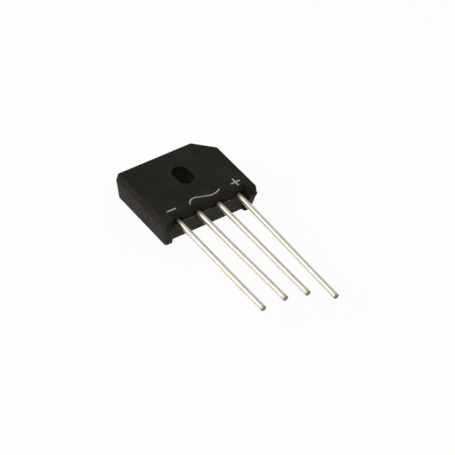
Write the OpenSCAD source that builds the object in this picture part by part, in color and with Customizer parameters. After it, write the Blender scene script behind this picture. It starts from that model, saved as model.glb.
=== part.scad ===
// Single-phase bridge rectifier in a flat, moulded, in-line package.
// It lies on its back face (z = 0) with the marked face up and the leads towards -Y.
// The origin is the middle of the mounting slot, on the back face.
// Left to right the leads are negative, AC, AC and positive; the cut corner marks the positive end.

/* [Case] */
// Width of the case over its parting line
case_width = 22.94; // [22:0.01:28]
// Depth of the case over its parting line, from the lead-side wall to the rear
case_depth = 17.6; // [17.2:0.1:24]
// Thickness from the back face to the marked face
case_thick = 7; // [6.6:0.1:9]
// Height of the parting plane, which is also the height of the lead axes
parting_z = 5.05; // [4.2:0.05:5.4]
// Draft of the mould half that makes the marked face, in degrees
front_draft = 8.7; // [2:0.1:10]
// Draft of the mould half that makes the back face, in degrees
back_draft = 6.5; // [2:0.1:8]
// Leg of the cut corner at the positive end
corner_cut = 4.2; // [3:0.1:5]
// Leg of the small bevel on the edges of the marked face and the back face
edge_break = 0.15; // [0.05:0.05:0.3]
// How far the parting-line flash stands proud
flash_reach = 0.08; // [0.04:0.01:0.15]
// Thickness of the parting-line flash
flash_thick = 0.1; // [0.06:0.01:0.2]

/* [Mounting slot] */
// Width of the screw slot, across the case
slot_w = 3.8; // [3.2:0.1:4.6]
// End-to-end length of the screw slot, along the leads
slot_l = 5.7; // [4.8:0.1:6.9]
// From the lead-side wall to the middle of the slot
slot_from_wall = 9.7; // [9.5:0.1:10]
// Least moulding between the slot and the metal inside
slot_skin = 0.7; // [0.5:0.1:0.8]

/* [Lead-side wall] */
// Draft of the back half of the wall between the feet, in degrees
wall_draft = 8; // [2:0.5:9]
// How far the lip of the back half stands in front of the nominal wall
wall_lip = 0.15; // [0.05:0.05:0.2]
// Depth of the ledge that the back half leaves at the parting plane
wall_ledge = 0.35; // [0.1:0.05:0.5]
// Radius between the wall and the marked face
wall_edge_r = 0.9; // [0.1:0.05:1.2]

/* [Stand-off feet] */
// How far the feet stand in front of the nominal wall
foot_reach = 1.55; // [1:0.05:2]
// Width of a foot at its toe
foot_toe_w = 1.25; // [1:0.05:1.6]
// Angle at which the inner side of a foot widens to its root, in degrees
foot_flare = 25; // [0:1:30]
// Draft of the toe towards the back face, in degrees
toe_draft = 13; // [2:1:15]
// Radius from the marked face round to the toe
nose_r = 1.5; // [0.5:0.1:1.7]
// Radius of the toe's inner corner
toe_r = 0.6; // [0.2:0.1:0.7]
// Flat that eases the toe's outer corner
toe_flat = 0.45; // [0.2:0.05:0.6]
// Leg of the bevel under the toe
toe_break = 0.3; // [0.1:0.05:0.4]

/* [Lead reliefs] */
// Gap between a lead and the crown of the arch over it
relief_gap = 0.4; // [0.3:0.05:0.6]
// Radius that eases each arch into the ledge
relief_flank_r = 0.6; // [0.3:0.05:0.7]
// Depth of each arch behind the nominal wall
relief_depth = 0.6; // [0.5:0.05:1]

/* [Leads] */
// Diameter of the lead wire
lead_d = 1.28; // [1.2:0.01:1.54]
// Spacing of the leads where they leave the case
lead_pitch = 5.08; // [4.2:0.01:5.3]
// Free length of each lead, measured from the nominal wall
lead_len = [29.9, 29.9, 31.1, 34.85];
// Sideways lean of each lead, in degrees, positive towards the positive end
lead_lean = [0.2, 0.85, 0.1, -1.25];
// Chamfer that the cutter leaves round each lead's end
lead_tip = 0.1; // [0.05:0.01:0.2]
// Diameter to which the wire is swaged inside the case
neck_d = 0.9; // [0.8:0.05:1]

/* [Inner conductors] */
// Moulding between the back face and the straps
back_skin = 1.2; // [0.8:0.1:1.5]
// Thickness of the copper straps
strap_t = 0.8; // [0.5:0.05:1]
// Thickness of a lead's flattened inner end
paddle_t = 0.7; // [0.5:0.05:0.85]
// Width of the flattened end of a direct-current lead
strip_w = 1.2; // [1:0.05:1.5]
// Least gap between two conductors side by side
strip_gap = 0.4; // [0.3:0.05:0.5]
// Inner radius of the bends in a lead
bend_r = 0.3; // [0.2:0.05:0.4]

/* [Diodes] */
// Side of a square diode die
die_w = 2.8; // [2.2:0.1:3.4]
// Thickness of a die
die_t = 0.3; // [0.2:0.02:0.4]
// How far the mesa of a die is set in at its anode
mesa_inset = 0.3; // [0.2:0.05:0.4]
// Thickness of a solder layer
solder_t = 0.1; // [0.05:0.01:0.15]
// Margin of copper round a die
die_margin = 0.15; // [0.1:0.05:0.3]

/* [Hidden] */
$fn = 72;

// Longer than anything in the model, for sections that are cut to length by others
beyond = 60;
// How far a rounding laps over the edges it meets, and how far its arc runs past the tangent
lap = 0.1;
slip = 0.002;
half_w = case_width / 2;
toe_x = half_w - foot_toe_w;
wall_y = -slot_from_wall;
rear_y = wall_y + case_depth;
front_t = case_thick - parting_z;
// How deep a foot's root runs into the case, past both drafted halves of the wall
foot_root = 1.2;
// The nose arc stays within the front half
nose_arc_r = min(nose_r, 0.9 * front_t);
lead_x = [for (i = [0 : 3]) (i - 1.5) * lead_pitch];

// The wire is round as far as the lip of the wall, so a socket slides on up to the case
round_from = 0.05;
neck_l = relief_depth + 0.3;

strap_w = die_w + 2 * die_margin;
row_y = slot_l / 2 + slot_skin + strap_w / 2;
column_in = slot_w / 2 + slot_skin;
column_out = lead_x[3] - strip_w / 2 - strip_gap;
column_x = (column_in + column_out) / 2;
pad_half = strap_w / 2;

strap_top = back_skin + strap_t;
die_z = strap_top + solder_t;
die_top = die_z + die_t;
// Underside of the flattened ends: on a die for the AC leads, on a strap for the others
ac_pad_z = die_top + solder_t;
dc_pad_z = strap_top + solder_t;
mesa_t = 0.4 * die_t;

case_colour = "#2a2826";
tin_colour = "#d9d6cc";
copper_colour = "#b8693f";
silicon_colour = "#59626e";
solder_colour = "#a9acae";

// ---- plane figures ----

function unit(v) = v / norm(v);
function turn(a, b, c) = (b[0] - a[0]) * (c[1] - b[1]) - (b[1] - a[1]) * (c[0] - b[0]);

// A polygon with some corners cut off flat, by the given leg, or 0 to keep the corner
function bevelled(points, legs) = let (n = len(points)) [
    for (i = [0 : n - 1])
        let (b = points[i], a = points[(i + n - 1) % n], c = points[(i + 1) % n])
            each legs[i] > 0 ? [b + unit(a - b) * legs[i], b + unit(c - b) * legs[i]] : [b]
];

// What an arc of radius r takes off, or fills in, at the corner b of a path a-b-c.
// It laps over the edges it meets, so that no sliver is left between them.
module corner_piece(a, b, c, r) {
    u = unit(a - b);
    v = unit(c - b);
    half = acos(u * v) / 2;
    centre = b + unit(u + v) * r / sin(half);
    reach = (r + lap) / r;
    difference() {
        polygon([
            centre,
            centre + (b + u * r / tan(half) - centre) * reach,
            centre + (b - centre) * reach,
            centre + (b + v * r / tan(half) - centre) * reach,
        ]);
        translate(centre) circle(r + slip);
    }
}

// An anticlockwise polygon with an arc of the given radius at some corners, or 0 to keep the corner
module rounded(points, radii) {
    n = len(points);
    before = [for (i = [0 : n - 1]) points[(i + n - 1) % n]];
    after = [for (i = [0 : n - 1]) points[(i + 1) % n]];
    difference() {
        union() {
            polygon(points);
            for (i = [0 : n - 1])
                if (radii[i] > 0 && turn(before[i], points[i], after[i]) < 0)
                    corner_piece(before[i], points[i], after[i], radii[i]);
        }
        for (i = [0 : n - 1])
            if (radii[i] > 0 && turn(before[i], points[i], after[i]) > 0)
                corner_piece(before[i], points[i], after[i], radii[i]);
    }
}

// Carries a section drawn in (y, z) along X
module along_x(from, to) {
    translate([from, 0, 0]) rotate([90, 0, 90]) linear_extrude(to - from) children();
}

// ---- case ----

// The section across the case: two drafted mould halves that meet at the parting line
module side_to_side() {
    back_x = half_w - parting_z * tan(back_draft);
    front_x = half_w - front_t * tan(front_draft);
    rotate([90, 0, 0]) linear_extrude(beyond, center = true) polygon(bevelled(
        [
            [-back_x, 0],
            [back_x, 0],
            [half_w, parting_z],
            [front_x, case_thick],
            [-front_x, case_thick],
            [-half_w, parting_z],
        ],
        [edge_break, edge_break, 0, edge_break, edge_break, 0]
    ));
}

// The section along the case, from the toe of the feet to the rear wall
module toe_to_rear() {
    toe_y = wall_y - foot_reach;
    eased = bevelled(
        [
            [toe_y, parting_z],
            [toe_y + parting_z * tan(toe_draft), 0],
            [rear_y - parting_z * tan(back_draft), 0],
            [rear_y, parting_z],
            [rear_y - front_t * tan(front_draft), case_thick],
            [toe_y + front_t * tan(back_draft), case_thick],
        ],
        [0, toe_break, edge_break, 0, edge_break, 0]
    );
    nose = len(eased) - 1;
    along_x(-half_w - 1, half_w + 1)
        rounded(eased, [for (i = [0 : nose]) i == nose ? nose_arc_r : 0]);
}

// Everything on the inner side of a drafted wall that cuts the case's corner between two others.
// Its normal at the parting line is turned by the angle from +X; the falls are its set-back at
// the back face and at the marked face.
module corner_limit(angle, reach, back_fall, front_fall) {
    rotate([90, 0, angle]) linear_extrude(beyond, center = true) polygon(bevelled(
        [
            [-beyond, 0],
            [reach - back_fall, 0],
            [reach, parting_z],
            [reach - front_fall, case_thick],
            [-beyond, case_thick],
        ],
        [0, edge_break, 0, edge_break, 0]
    ));
}

// The cut corner at the positive end
module marker_corner() {
    corner_limit(
        45,
        (half_w + rear_y - corner_cut) / sqrt(2),
        parting_z * tan(back_draft),
        front_t * tan(front_draft)
    );
}

// The flat on the outer corner of each toe, as wide at the back face as at the parting line
module toe_corner(side) {
    back_fall = parting_z * (tan(back_draft) + tan(toe_draft)) / sqrt(2);
    front_fall = front_t * (tan(front_draft) + tan(back_draft)) / sqrt(2);
    reach = (half_w + foot_reach - wall_y - toe_flat) / sqrt(2);
    corner_limit(side > 0 ? -45 : -135, reach, back_fall, front_fall);
}

// Outline of the foot on the positive side and of the flank behind it, seen from above
module foot_outline(grow, back) {
    root_x = toe_x - tan(foot_flare) * (foot_reach + foot_root);
    rounded(
        [
            [toe_x, -foot_reach - grow],
            [half_w + grow - toe_flat, -foot_reach - grow],
            [half_w + grow, toe_flat - foot_reach - grow],
            [half_w + grow, back],
            [root_x, back],
            [root_x, foot_root],
        ],
        [toe_r, 0, 0, 0, 0, 0]
    );
}

// Section of the wall between the feet: a drafted back half, its ledge, and the front half behind it
module wall_section() {
    eased = bevelled(
        [
            [-wall_lip, parting_z],
            [parting_z * tan(wall_draft) - wall_lip, 0],
            [beyond, 0],
            [beyond, case_thick],
            [wall_ledge - wall_lip + front_t * tan(front_draft), case_thick],
            [wall_ledge - wall_lip, parting_z],
        ],
        [0, edge_break, 0, 0, 0, 0]
    );
    top = len(eased) - 2;
    rounded(eased, [for (i = [0 : top + 1]) i == top ? wall_edge_r : 0]);
}

// What the mould keeps clear of resin in front of that wall, between the feet
module foot_gap() {
    ahead = foot_reach + 1;
    translate([0, wall_y, 0]) intersection() {
        translate([0, 0, -1]) linear_extrude(case_thick + 2) difference() {
            translate([-toe_x - 1, -ahead]) square([2 * toe_x + 2, ahead + foot_root]);
            for (side = [0, 1]) mirror([side, 0]) foot_outline(ahead, foot_root + 1);
        }
        along_x(-toe_x - 2, toe_x + 2) difference() {
            translate([-ahead - 1, -0.5]) square([ahead + foot_root + 1, case_thick + 1]);
            wall_section();
        }
    }
}

// The thin fin of resin that the two mould halves leave round the outside of the case
module parting_flash() {
    g = flash_reach;
    cut = corner_cut - g * (2 - sqrt(2));
    translate([0, 0, parting_z - flash_thick / 2]) linear_extrude(flash_thick) {
        polygon([
            [-half_w - g, wall_y + foot_root - 0.2],
            [half_w + g, wall_y + foot_root - 0.2],
            [half_w + g, rear_y - corner_cut + g],
            [half_w - corner_cut + g, rear_y + g],
            [-half_w - g, rear_y + g],
        ]);
        translate([0, wall_y]) for (side = [0, 1]) mirror([side, 0]) foot_outline(g, foot_root);
    }
}

// The arch over a lead in the front half of the wall, drawn round the lead's axis
module relief_arch() {
    r = lead_d / 2 + relief_gap;
    f = relief_flank_r;
    flank_z = 0.9 * f;
    flank_x = sqrt((r + f) * (r + f) - flank_z * flank_z);
    intersection() {
        union() {
            circle(r);
            for (side = [0, 1]) mirror([side, 0]) difference() {
                polygon([[0, 0], [flank_x, 0], [flank_x, flank_z]]);
                translate([flank_x, flank_z]) circle(f + slip);
            }
        }
        translate([-beyond / 2, 0]) square(beyond);
    }
}

module relief(i) {
    translate([lead_x[i], wall_y + relief_depth, parting_z])
        rotate([90, 0, 0]) linear_extrude(relief_depth + foot_reach) relief_arch();
}

module mounting_slot() {
    straight = slot_l - slot_w;
    translate([0, 0, -1]) linear_extrude(case_thick + 2) {
        square([slot_w, straight], center = true);
        for (end = [-1, 1]) translate([0, end * straight / 2]) circle(slot_w / 2);
    }
}

module case() {
    color(case_colour) difference() {
        union() {
            difference() {
                intersection() {
                    side_to_side();
                    toe_to_rear();
                    marker_corner();
                    toe_corner(1);
                    toe_corner(-1);
                }
                foot_gap();
            }
            parting_flash();
        }
        mounting_slot();
        for (i = [0 : 3]) relief(i);
        lead_negative();
        lead_ac_1();
        lead_ac_2();
        lead_positive();
        strap_positive();
        strap_negative();
        for (column = [-1, 1], row = [-1, 1]) diode_stack(column, row);
        solder_lead_positive();
        solder_lead_negative();
    }
}

// ---- leads ----

// The round wire from its cut end to its swaged neck
module wire(i) {
    straight = lead_len[i] - lead_tip;
    translate([lead_x[i], wall_y, parting_z]) rotate([90, 0, lead_lean[i]]) {
        translate([0, 0, round_from]) cylinder(d = lead_d, h = straight - round_from);
        translate([0, 0, straight])
            cylinder(d1 = lead_d, d2 = lead_d - 2 * lead_tip, h = lead_tip);
        translate([0, 0, -neck_l]) cylinder(d = neck_d, h = neck_l + round_from);
    }
}

// Side view of a flattened end: level from the neck, cranked down, then level at pad_z up to end_y
module cranked_strip(pad_z, end_y) {
    half = paddle_t / 2;
    start_y = wall_y + relief_depth + 0.05;
    high_y = wall_y + neck_l + 0.1;
    low_y = -row_y - strap_w / 2;
    low_z = pad_z + half;
    slope = atan((parting_z - low_z) / (low_y - high_y));
    shift = half * tan(slope / 2);
    outer_r = bend_r + paddle_t;
    along_x(-beyond, beyond) rounded(
        [
            [start_y, parting_z - half],
            [high_y - shift, parting_z - half],
            [low_y - shift, low_z - half],
            [end_y, low_z - half],
            [end_y, low_z + half],
            [low_y + shift, low_z + half],
            [high_y + shift, parting_z + half],
            [start_y, parting_z + half],
        ],
        [0, bend_r, outer_r, 0, 0, bend_r, outer_r, 0]
    );
}

// Plan of a direct-current lead's inner end: a straight strip with a rounded end
module strip_plan(end_y) {
    start_y = wall_y + relief_depth;
    wide_y = wall_y + neck_l + 0.8;
    neck = 0.4 * lead_d;
    half = strip_w / 2;
    rounded(
        [
            [-neck, start_y],
            [neck, start_y],
            [half, wide_y],
            [half, end_y],
            [-half, end_y],
            [-half, wide_y],
        ],
        [0, 0, 0, half / 2, half / 2, 0]
    );
}

module dc_lead(i, end_y) {
    color(tin_colour) {
        wire(i);
        intersection() {
            translate([lead_x[i], 0, 0]) linear_extrude(case_thick) strip_plan(end_y);
            cranked_strip(dc_pad_z, end_y);
        }
    }
}

// Plan of an AC lead's inner end: it flares to the front die and passes the slot to the rear one
module paddle_plan() {
    start_y = wall_y + relief_depth;
    high_y = wall_y + neck_l + 0.1;
    neck = 0.4 * lead_d;
    front_y = -row_y - strap_w / 2;
    rear_y = row_y + strap_w / 2;
    waist = pad_half - 0.5;
    waist_y = row_y - strap_w / 2 - 0.5;
    rounded(
        [
            [lead_x[2] - neck, start_y],
            [lead_x[2] + neck, start_y],
            [lead_x[2] + neck, high_y],
            [column_x + pad_half, front_y],
            [column_x + pad_half, -waist_y - 0.5],
            [column_x + waist, -waist_y],
            [column_x + waist, waist_y],
            [column_x + pad_half, waist_y + 0.5],
            [column_x + pad_half, rear_y],
            [column_x - pad_half, rear_y],
            [column_x - pad_half, waist_y + 0.5],
            [column_x - waist, waist_y],
            [column_x - waist, -waist_y],
            [column_x - pad_half, -waist_y - 0.5],
            [column_x - pad_half, front_y + 0.6],
            [lead_x[2] - neck, high_y + 0.6],
        ],
        [0, 0, 0, 0.3, 0, 0, 0, 0, 0.3, 0.3, 0, 0, 0, 0, 0, 0]
    );
}

module ac_lead(i) {
    color(tin_colour) {
        wire(i);
        intersection() {
            mirror([i == 1 ? 1 : 0, 0, 0]) linear_extrude(case_thick) paddle_plan();
            cranked_strip(ac_pad_z, row_y + strap_w / 2);
        }
    }
}

module lead_negative() dc_lead(0, row_y + strap_w / 2);
module lead_ac_1() ac_lead(1);
module lead_ac_2() ac_lead(2);
module lead_positive() dc_lead(3, -row_y + strap_w / 2);

// ---- straps, dice and solder ----

// A copper bar under one row of dice, long enough for the lead that lands on its end
module strap(y, from, to) {
    corner = strap_w / 6;
    color(copper_colour) translate([0, y, back_skin]) linear_extrude(strap_t) rounded(
        [
            [from, -strap_w / 2],
            [to, -strap_w / 2],
            [to, strap_w / 2],
            [from, strap_w / 2],
        ],
        [corner, corner, corner, corner]
    );
}

module strap_positive() strap(-row_y, -column_x - pad_half, lead_x[3] + strip_w / 2);
module strap_negative() strap(row_y, lead_x[0] - strip_w / 2, column_x + pad_half);

// A square die with the bevelled mesa of its anode up
module die() {
    half = die_w / 2;
    mesa = half - mesa_inset;
    section = [
        [-half, 0],
        [half, 0],
        [half, die_t - mesa_t],
        [mesa, die_t],
        [-mesa, die_t],
        [-half, die_t - mesa_t],
    ];
    intersection() {
        along_x(-half, half) polygon(section);
        rotate(90) along_x(-half, half) polygon(section);
    }
}

// column is -1 or 1 for AC 1 or AC 2; row is -1 or 1 for the positive or the negative strap.
// Current leaves an AC lead down through a front die, so the front anodes face up, the rear down.
module placed_die(column, row) {
    color(silicon_colour) translate([column * column_x, row * row_y, die_z])
        if (row < 0) die();
        else translate([0, 0, die_t]) mirror([0, 0, 1]) die();
}

// Solder on the anode is as wide as the mesa, and on the cathode almost as wide as the die
module die_solder(column, row, top) {
    anode = (row < 0) == top;
    side = anode ? die_w - 2 * mesa_inset : die_w - 0.2;
    color(solder_colour)
        translate([column * column_x, row * row_y, (top ? die_top : strap_top) + solder_t / 2])
            cube([side, side, solder_t], center = true);
}

module diode_stack(column, row) {
    placed_die(column, row);
    die_solder(column, row, true);
    die_solder(column, row, false);
}

module lead_solder(x, y) {
    color(solder_colour) translate([x, y, strap_top + solder_t / 2])
        cube([strip_w - 0.2, strap_w - 2 * die_margin, solder_t], center = true);
}

module solder_lead_positive() lead_solder(lead_x[3], -row_y);
module solder_lead_negative() lead_solder(lead_x[0], row_y);

case();
lead_negative();
lead_ac_1();
lead_ac_2();
lead_positive();
strap_positive();
strap_negative();
placed_die(-1, -1);  // die_ac_1_positive
placed_die(1, -1);  // die_ac_2_positive
placed_die(-1, 1);  // die_ac_1_negative
placed_die(1, 1);  // die_ac_2_negative
die_solder(-1, -1, true);  // solder_ac_1_positive_top
die_solder(-1, -1, false);  // solder_ac_1_positive_base
die_solder(1, -1, true);  // solder_ac_2_positive_top
die_solder(1, -1, false);  // solder_ac_2_positive_base
die_solder(-1, 1, true);  // solder_ac_1_negative_top
die_solder(-1, 1, false);  // solder_ac_1_negative_base
die_solder(1, 1, true);  // solder_ac_2_negative_top
die_solder(1, 1, false);  // solder_ac_2_negative_base
solder_lead_positive();
solder_lead_negative();
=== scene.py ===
"""Looks of a four-lead bridge rectifier: moulded case, printed polarity signs and tinned leads."""

import logging
import math
import random
from dataclasses import dataclass
from enum import Enum
from typing import Sequence

import bmesh
import bpy
from mathutils import Matrix, Vector


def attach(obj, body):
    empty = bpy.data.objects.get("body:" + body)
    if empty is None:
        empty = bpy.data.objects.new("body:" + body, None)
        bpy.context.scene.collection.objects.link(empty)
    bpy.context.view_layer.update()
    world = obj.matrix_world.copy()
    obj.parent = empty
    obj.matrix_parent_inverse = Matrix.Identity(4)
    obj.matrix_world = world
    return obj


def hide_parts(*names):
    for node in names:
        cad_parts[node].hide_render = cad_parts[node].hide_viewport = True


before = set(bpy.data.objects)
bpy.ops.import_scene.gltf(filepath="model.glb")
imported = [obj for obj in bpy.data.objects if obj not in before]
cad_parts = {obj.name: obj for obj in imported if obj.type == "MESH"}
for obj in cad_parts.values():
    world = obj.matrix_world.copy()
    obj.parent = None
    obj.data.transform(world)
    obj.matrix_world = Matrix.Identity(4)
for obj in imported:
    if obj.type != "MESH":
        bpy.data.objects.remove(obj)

LOG = logging.getLogger("bridge_rectifier")
MM = 0.001
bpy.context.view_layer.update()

# Points nearer than this, in metres, are one point
MERGE = 1e-6
# The same for the points of a piece that is ready
LAST_MERGE = MERGE / 10
# Faces that turn less than this, in degrees, are one flat face
FLAT_DEG = 0.5
# Name of the attribute with the distance in millimetres from a lead's cut end
FROM_END = "from_end"
# Sockets of a Mix node that mixes colours: share, first colour, second colour, and the result
MIX_SHARE, MIX_FIRST, MIX_SECOND, MIX_RESULT = 0, 6, 7, 2
# Values of the handling patches between which a finish's roughness changes
PATCH_SPAN = (0.3, 0.7)
# Half the side of a cell of the grids that the straight signs start from
HALF_CELL = 0.5
WHITE = (1.0, 1.0, 1.0, 1.0)

Pair = tuple[float, float]
Triple = tuple[float, float, float]
Rgb = tuple[float, float, float]
Rgba = tuple[float, float, float, float]


class Slot(Enum):
    """Names of material slots for the moulding and the leads; no piece in this script takes its finish from
    them.
    """

    CASE = "mould_compound"
    LEAD = "tinned_lead"


class LeadEnd(Enum):
    """What a lead of the bridge carries."""

    NEGATIVE = "negative"
    AC_1 = "ac_1"
    AC_2 = "ac_2"
    POSITIVE = "positive"


# ---- shader helpers ----


class NodeSheet:
    """A material, world or node group under construction, with short calls for nodes and links."""

    def __init__(self, tree: bpy.types.NodeTree) -> None:
        """Keep the tree that the nodes go into.

        Args:
            tree: Node tree of a material, a world or a group.
        """
        self.tree = tree

    def node(self, kind: str, **settings: object) -> bpy.types.Node:
        """Add a node and set its properties and unlinked inputs.

        Args:
            kind: Blender's type name of the node.
            **settings: Properties of the node, or names of its inputs with underscores for spaces.

        Returns:
            The new node.
        """
        made = self.tree.nodes.new(kind)
        for key, value in settings.items():
            if hasattr(made, key):
                setattr(made, key, value)
            else:
                made.inputs[key.replace("_", " ")].default_value = value
        return made

    def link(self, source: bpy.types.NodeSocket, target: bpy.types.NodeSocket) -> None:
        """Link an output socket to an input socket."""
        self.tree.links.new(source, target)

    def maths(self, operation: str, *values: object, clamp: bool = False) -> bpy.types.NodeSocket:
        """Add a Math node fed by sockets or numbers.

        Args:
            operation: Blender's name of the operation.
            *values: A socket or a number for each input in order.
            clamp: True to keep the result between 0 and 1.

        Returns:
            The node's output socket.
        """
        made = self.tree.nodes.new("ShaderNodeMath")
        made.operation = operation
        made.use_clamp = clamp
        for place, value in enumerate(values):
            if isinstance(value, (int, float)):
                made.inputs[place].default_value = value
            else:
                self.link(value, made.inputs[place])
        return made.outputs[0]

    def spread(
        self, value: bpy.types.NodeSocket, low: float, high: float, start: float = 0.0, end: float = 1.0
    ) -> bpy.types.NodeSocket:
        """Map a range of values onto another range, clamped.

        Args:
            value: Socket with the value to map.
            low: Value that becomes start.
            high: Value that becomes end.
            start: Result at the low value.
            end: Result at the high value.

        Returns:
            The mapped value's socket.
        """
        made = self.node("ShaderNodeMapRange", clamp=True)
        self.link(value, made.inputs["Value"])
        made.inputs["From Min"].default_value = low
        made.inputs["From Max"].default_value = high
        made.inputs["To Min"].default_value = start
        made.inputs["To Max"].default_value = end
        return made.outputs["Result"]

    def blend(
        self, amount: bpy.types.NodeSocket, first: object, second: object
    ) -> bpy.types.NodeSocket:
        """Mix two colours.

        Args:
            amount: Socket with the share of the second colour.
            first: Socket or linear RGB of the first colour.
            second: Socket or linear RGB of the second colour.

        Returns:
            The mixed colour's socket.
        """
        made = self.node("ShaderNodeMix", data_type="RGBA", blend_type="MIX", clamp_factor=True)
        for place, value in ((MIX_SHARE, amount), (MIX_FIRST, first), (MIX_SECOND, second)):
            if isinstance(value, bpy.types.NodeSocket):
                self.link(value, made.inputs[place])
            else:
                made.inputs[place].default_value = (*value, 1.0)
        return made.outputs[MIX_RESULT]

    def noise(
        self, place: bpy.types.NodeSocket, scale: float, detail: float, rough: float
    ) -> bpy.types.NodeSocket:
        """Add a 3-D noise texture.

        Args:
            place: Socket with the coordinates.
            scale: Cells per metre of the coordinates.
            detail: Octaves of the noise.
            rough: Share that each finer octave keeps.

        Returns:
            The noise value's socket.
        """
        made = self.node("ShaderNodeTexNoise", Scale=scale, Detail=detail, Roughness=rough)
        self.link(place, made.inputs["Vector"])
        return made.outputs["Fac"]

    def axes(self, vector: bpy.types.NodeSocket) -> bpy.types.NodeOutputs:
        """Split a vector.

        Args:
            vector: Socket with the vector.

        Returns:
            The sockets named X, Y and Z.
        """
        apart = self.node("ShaderNodeSeparateXYZ")
        self.link(vector, apart.inputs["Vector"])
        return apart.outputs

    def stretched(
        self, place: bpy.types.NodeSocket, scale: Triple, turn: float = 0.0
    ) -> bpy.types.NodeSocket:
        """Stretch coordinates, so that a pattern on them runs in one direction.

        Args:
            place: Socket with the coordinates.
            scale: Factor on each axis; the pattern is longest where it is smallest.
            turn: Angle about Z, in radians.

        Returns:
            The stretched coordinates' socket.
        """
        made = self.node("ShaderNodeMapping", Rotation=(0.0, 0.0, turn), Scale=scale)
        self.link(place, made.inputs["Vector"])
        return made.outputs["Vector"]

    def mixed_output(
        self, share: bpy.types.NodeSocket, first: bpy.types.Node, second: bpy.types.Node, kind: str
    ) -> None:
        """Mix two shaders and end the sheet with the result.

        Args:
            share: Socket with the share of the second shader.
            first: Node of the first shader.
            second: Node of the second shader.
            kind: Blender's type name of the output node.
        """
        both = self.node("ShaderNodeMixShader")
        for place, source in enumerate((share, first.outputs[0], second.outputs[0])):
            self.link(source, both.inputs[place])
        self.link(both.outputs[0], self.node(kind).inputs["Surface"])


def empty_sheet(owner: bpy.types.ID) -> NodeSheet:
    """Turn on a material's or world's nodes and clear them.

    Args:
        owner: The material or world.

    Returns:
        The sheet of its empty tree.
    """
    owner.use_nodes = True
    owner.node_tree.nodes.clear()
    return NodeSheet(owner.node_tree)


def new_group(
    name: str, inputs: Sequence[str], outputs: Sequence[str]
) -> tuple[NodeSheet, bpy.types.NodeOutputs, bpy.types.NodeInputs]:
    """Start a shader node group.

    Args:
        name: Name of the group.
        inputs: Names of its number inputs, which follow a Vector input.
        outputs: Names of its number outputs.

    Returns:
        The sheet of the group, the sockets that give its inputs, and those that take its outputs.
    """
    tree = bpy.data.node_groups.new(name, "ShaderNodeTree")
    tree.interface.new_socket(name="Vector", in_out="INPUT", socket_type="NodeSocketVector")
    for side, labels in (("INPUT", inputs), ("OUTPUT", outputs)):
        for label in labels:
            tree.interface.new_socket(name=label, in_out=side, socket_type="NodeSocketFloat")
    sheet = NodeSheet(tree)
    return sheet, sheet.node("NodeGroupInput").outputs, sheet.node("NodeGroupOutput").inputs


@dataclass(frozen=True)
class MouldedGrain:
    """The moulded grain: fine pits and a slow waviness."""

    detail: float = 3.0
    rough: float = 0.6
    pit_cells: float = 0.35
    pit_rim: Pair = (0.05, 0.28)
    pitted_from: Pair = (0.5, 0.62)

    def make(self) -> bpy.types.NodeTree:
        """Build the node group.

        Returns:
            A group that gives the grain's height and a mask of its pits.
        """
        inputs, outputs = ("Grains per metre", "Pits"), ("Height", "Pit mask")
        sheet, given, out = new_group("MouldedGrain", inputs, outputs)
        fine = sheet.node("ShaderNodeTexNoise", Detail=self.detail, Roughness=self.rough)
        sheet.link(given["Vector"], fine.inputs["Vector"])
        sheet.link(given["Grains per metre"], fine.inputs["Scale"])
        cells = sheet.node("ShaderNodeTexVoronoi", feature="F1")
        sheet.link(given["Vector"], cells.inputs["Vector"])
        sheet.link(sheet.maths("MULTIPLY", given["Grains per metre"], self.pit_cells), cells.inputs["Scale"])
        pit = sheet.spread(cells.outputs["Distance"], *self.pit_rim, 1.0, 0.0)
        chosen = sheet.maths("MULTIPLY", pit, sheet.spread(fine.outputs["Fac"], *self.pitted_from))
        mask = sheet.maths("MULTIPLY", chosen, given["Pits"])
        sheet.link(sheet.maths("SUBTRACT", fine.outputs["Fac"], mask), out["Height"])
        sheet.link(mask, out["Pit mask"])
        return sheet.tree


@dataclass(frozen=True)
class HandlingMarks:
    """The marks of handling: soft patches and short fine scratches."""

    detail: float = 4.0
    rough: float = 0.55
    scratch_turn: float = 0.7
    scratch_stretch: Triple = (1.0, 22.0, 6.0)
    scratch_noise: Triple = (260.0, 3.0, 0.6)
    scratched_from: Pair = (0.66, 0.72)

    def make(self) -> bpy.types.NodeTree:
        """Build the node group.

        Returns:
            A group that gives a patch value and a scratch mask.
        """
        inputs, outputs = ("Patches per metre", "Scratches"), ("Patch", "Scratch")
        sheet, given, out = new_group("HandlingMarks", inputs, outputs)
        patch = sheet.node("ShaderNodeTexNoise", Detail=self.detail, Roughness=self.rough)
        sheet.link(given["Vector"], patch.inputs["Vector"])
        sheet.link(given["Patches per metre"], patch.inputs["Scale"])
        stroke = sheet.stretched(given["Vector"], self.scratch_stretch, self.scratch_turn)
        thin = sheet.spread(sheet.noise(stroke, *self.scratch_noise), *self.scratched_from)
        sheet.link(patch.outputs["Fac"], out["Patch"])
        sheet.link(sheet.maths("MULTIPLY", thin, given["Scratches"]), out["Scratch"])
        return sheet.tree


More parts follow.
